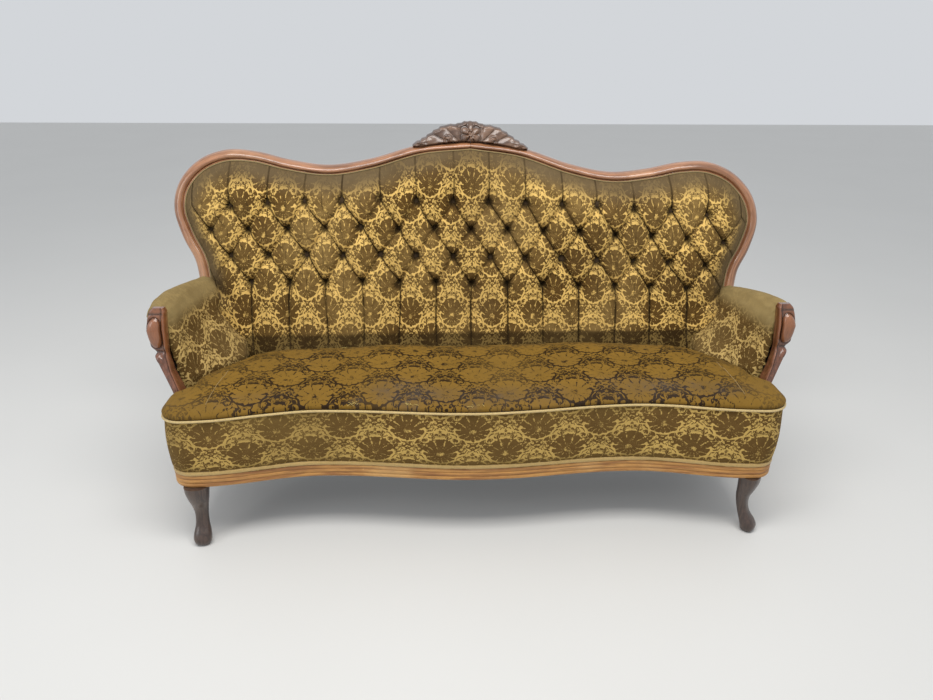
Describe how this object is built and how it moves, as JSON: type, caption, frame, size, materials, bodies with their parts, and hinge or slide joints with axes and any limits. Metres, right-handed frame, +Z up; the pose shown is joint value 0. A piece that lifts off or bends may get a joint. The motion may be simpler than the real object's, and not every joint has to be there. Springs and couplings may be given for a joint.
{
  "type": "torn sofa",
  "caption": "Worn three-seat sofa with a carved wooden show frame, a deep-buttoned velvet back, rolled arms, a sprung seat with a corded edge and cabriole front legs.",
  "frame": {"origin": "on the floor, under the middle of the sofa's box", "axes": "+X along the sofa, to the right of someone facing it; +Y from the seat's front edge to the back; +Z up"},
  "size_m": [1.769, 0.694, 1.0075],
  "materials": {
    "polished_wood": "polished walnut-brown stain, rubbed",
    "carved_wood": "carved, greyed polish, dark in the hollows",
    "rail_wood": "golden brown stain, scuffed",
    "leg_wood": "dark brown varnish",
    "beech": "plain sawn beech",
    "velvet": "brown cut-velvet damask on a gold ground, faded and rubbed",
    "plain_velvet": "plain olive velvet",
    "piping_cord": "twisted cream cord",
    "trim_band": "plain olive-gold band",
    "hessian": "coarse jute",
    "webbing": "woven jute band",
    "spring_steel": "copper-coloured spring wire gone grey",
    "dust_cloth": "thin black cotton"
  },
  "bodies": {
    "root": {"seat_rail_front": "rail_wood", "seat_rail_left": "rail_wood", "seat_rail_right": "rail_wood", "seat_rail_back": "beech", "seat_cross_rail_left": "beech", "seat_cross_rail_right": "beech", "corner_block_front_left": "beech", "corner_block_front_right": "beech", "corner_block_rear_left": "beech", "corner_block_rear_right": "beech", "leg_front_left": "leg_wood", "leg_front_right": "leg_wood", "leg_rear_left": "leg_wood", "leg_rear_right": "leg_wood", "back_rail_left": "polished_wood", "back_rail_right": "polished_wood", "back_stile_left": "beech", "back_stile_right": "beech", "back_lower_rail": "beech", "back_centre_upright": "beech", "back_pad": "velvet", "back_outside_cover": "plain_velvet", "crest_carving": "carved_wood", "arm_post_left": "polished_wood", "arm_post_right": "polished_wood", "arm_pad_left": "velvet", "arm_pad_right": "velvet", "arm_rail_left": "beech", "arm_rail_right": "beech", "arm_outside_left": "plain_velvet", "arm_outside_right": "plain_velvet", "seat_border": "velvet", "trim_band": "trim_band", "seat_piping": "piping_cord", "seat_pad": "velvet", "spring_hessian": "hessian", "spring_1_1": "spring_steel", "spring_1_2": "spring_steel", "spring_1_3": "spring_steel", "spring_1_4": "spring_steel", "spring_1_5": "spring_steel", "spring_1_6": "spring_steel", "spring_2_1": "spring_steel", "spring_2_2": "spring_steel", "spring_2_3": "spring_steel", "spring_2_4": "spring_steel", "spring_2_5": "spring_steel", "spring_2_6": "spring_steel", "webbing_cross_1": "webbing", "webbing_cross_2": "webbing", "webbing_cross_3": "webbing", "webbing_cross_4": "webbing", "webbing_cross_5": "webbing", "webbing_cross_6": "webbing", "webbing_long_1": "webbing", "webbing_long_2": "webbing", "dust_cover": "dust_cloth"}
  },
  "joints": []
}
